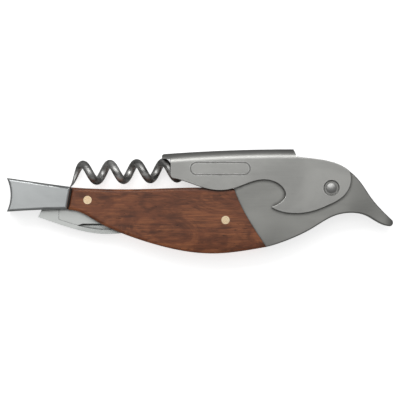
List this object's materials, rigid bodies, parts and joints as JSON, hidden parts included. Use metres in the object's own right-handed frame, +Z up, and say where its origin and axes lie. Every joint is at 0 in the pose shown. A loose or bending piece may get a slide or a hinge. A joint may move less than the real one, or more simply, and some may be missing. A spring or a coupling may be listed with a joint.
{
  "type": "lever corkscrew",
  "caption": "Bird-shaped folding lever corkscrew: wood scales, satin metal head with a hinged lever and cap-lifter hook, folding worm and foil-cutter blade, fishtail end.",
  "frame": {"origin": "centre of the overall box, on the flat face that the tool lies on", "axes": "+X from the fishtail to the beak, +Y from the belly to the lever's roof, +Z up through the thickness as it lies on its side"},
  "size_m": [0.14, 0.0378, 0.0124],
  "materials": {
    "satin_steel": "satin, bead blasted",
    "tail_steel": "satin",
    "liner_steel": "ground",
    "rosewood": "oiled rosewood",
    "brass": "sanded flush",
    "bronze": "plain",
    "pin_steel": "polished",
    "worm_steel": "dark polished",
    "blade_steel": "ground"
  },
  "bodies": {
    "root": {"head_casting": "satin_steel", "front_liner": "liner_steel", "back_liner": "liner_steel", "back_spring": "liner_steel", "front_wood_scale": "rosewood", "back_wood_scale": "rosewood", "front_tail_bolster": "tail_steel", "back_tail_bolster": "tail_steel", "scale_pin": "brass", "blade_pivot_pin": "brass", "liner_rivets": "pin_steel", "tail_pins": "pin_steel", "bolster_pins": "pin_steel", "worm_pin": "pin_steel", "lever_pivot_pin": "pin_steel", "lever_washers": "bronze", "blade_washers": "bronze"},
    "lever": {"lever": "satin_steel"},
    "worm": {"worm": "worm_steel", "worm_hub": "pin_steel"},
    "blade": {"foil_blade": "blade_steel"}
  },
  "joints": [
    {"name": "lever_swing", "type": "hinge", "parent": "root", "child": "lever", "pos_m": [0.04743, 0.00487, 0.0062], "axis": [0, 0, -1], "range_deg": [0, 140]},
    {"name": "worm_swing", "type": "hinge", "parent": "root", "child": "worm", "pos_m": [0.00773, 0.01177, 0.0062], "axis": [0, 0, -1], "range_deg": [0, 90]},
    {"name": "blade_swing", "type": "hinge", "parent": "root", "child": "blade", "pos_m": [0.00913, -0.00673, 0.0062], "axis": [0, 0, 1], "range_deg": [0, 110]}
  ],
  "couplings": [
    {"joint": "worm_swing", "follows": "lever_swing", "ratio": 0.64286}
  ]
}
